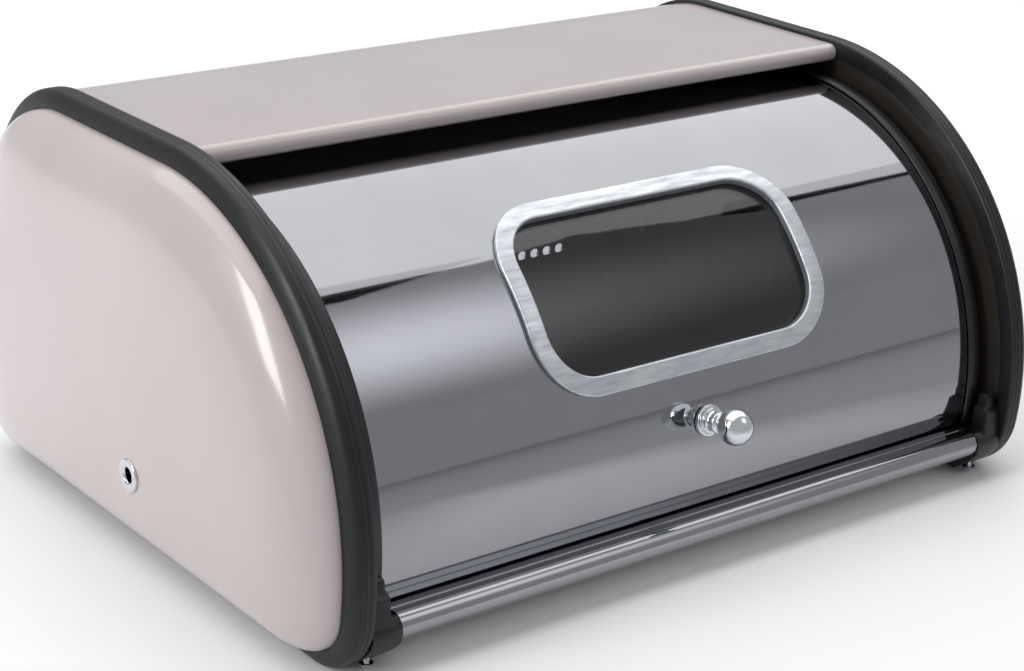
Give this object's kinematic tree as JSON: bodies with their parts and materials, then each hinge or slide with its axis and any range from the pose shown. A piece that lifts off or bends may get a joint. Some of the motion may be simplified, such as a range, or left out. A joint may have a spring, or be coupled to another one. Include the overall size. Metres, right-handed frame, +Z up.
{
  "type": "bread bin",
  "caption": "Roll-top bread bin with domed ends, black edge rings, a polished curved lid with a smoked window and a chrome knob; the lid turns back inside.",
  "frame": {"origin": "on the table plane, at the centre of the bin's bounding box (midway across the width, and midway between the back and the front of the knob)", "axes": "+X to the bin's right-hand end, front and lid towards -Y, +Z up"},
  "size_m": [0.419, 0.311, 0.185],
  "materials": {
    "taupe_paint": "smooth satin-gloss enamel",
    "apron_paint": "smooth satin-gloss enamel",
    "dark_enamel": "dark gloss enamel",
    "mirror_steel": "mirror polished",
    "side_steel": "plain rolled",
    "zinc_steel": "bright zinc plate",
    "chrome": "bright chrome plate",
    "bezel_alloy": "pale satin silver",
    "smoked_pane": "clear, smoked grey",
    "black_ring": "satin moulded, fine ribs",
    "black_plastic": "satin moulded",
    "white_nylon": "natural nylon",
    "buffer_rubber": "soft matte"
  },
  "bodies": {
    "housing": {"body_shell": "taupe_paint", "base_pan": "apron_paint", "front_sill": "mirror_steel", "end_cap_left": "taupe_paint", "end_cap_right": "taupe_paint", "end_plate_left": "dark_enamel", "end_plate_right": "dark_enamel", "edge_ring_left": "black_ring", "edge_ring_right": "black_ring", "corner_block_left": "black_plastic", "corner_block_right": "black_plastic", "corner_screw_left": "zinc_steel", "corner_screw_right": "zinc_steel", "lid_buffer_left": "buffer_rubber", "lid_buffer_right": "buffer_rubber", "pivot_eyelet_left": "chrome", "pivot_eyelet_right": "chrome", "pivot_spacer_left": "black_plastic", "pivot_spacer_right": "black_plastic", "pivot_washer_left": "zinc_steel", "pivot_washer_right": "zinc_steel", "pivot_cap_left": "black_plastic", "pivot_cap_right": "black_plastic"},
    "lid": {"lid_panel": "mirror_steel", "window_bezel": "bezel_alloy", "window_pane": "smoked_pane", "window_frame": "black_plastic", "frame_screw_1": "zinc_steel", "frame_screw_2": "zinc_steel", "frame_screw_3": "zinc_steel", "frame_screw_4": "zinc_steel", "frame_screw_5": "zinc_steel", "frame_screw_6": "zinc_steel", "knob": "chrome", "knob_washer": "zinc_steel", "knob_screw": "zinc_steel", "lid_side_left": "side_steel", "lid_side_right": "side_steel", "lid_trim_left": "black_plastic", "lid_trim_right": "black_plastic", "pivot_bush_left": "white_nylon", "pivot_bush_right": "white_nylon"}
  },
  "joints": [
    {"name": "lid_hinge", "type": "hinge", "parent": "housing", "child": "lid", "pos_m": [0, -0.00846, 0.045], "axis": [-1, 0, 0], "range_deg": [0, 70]}
  ]
}
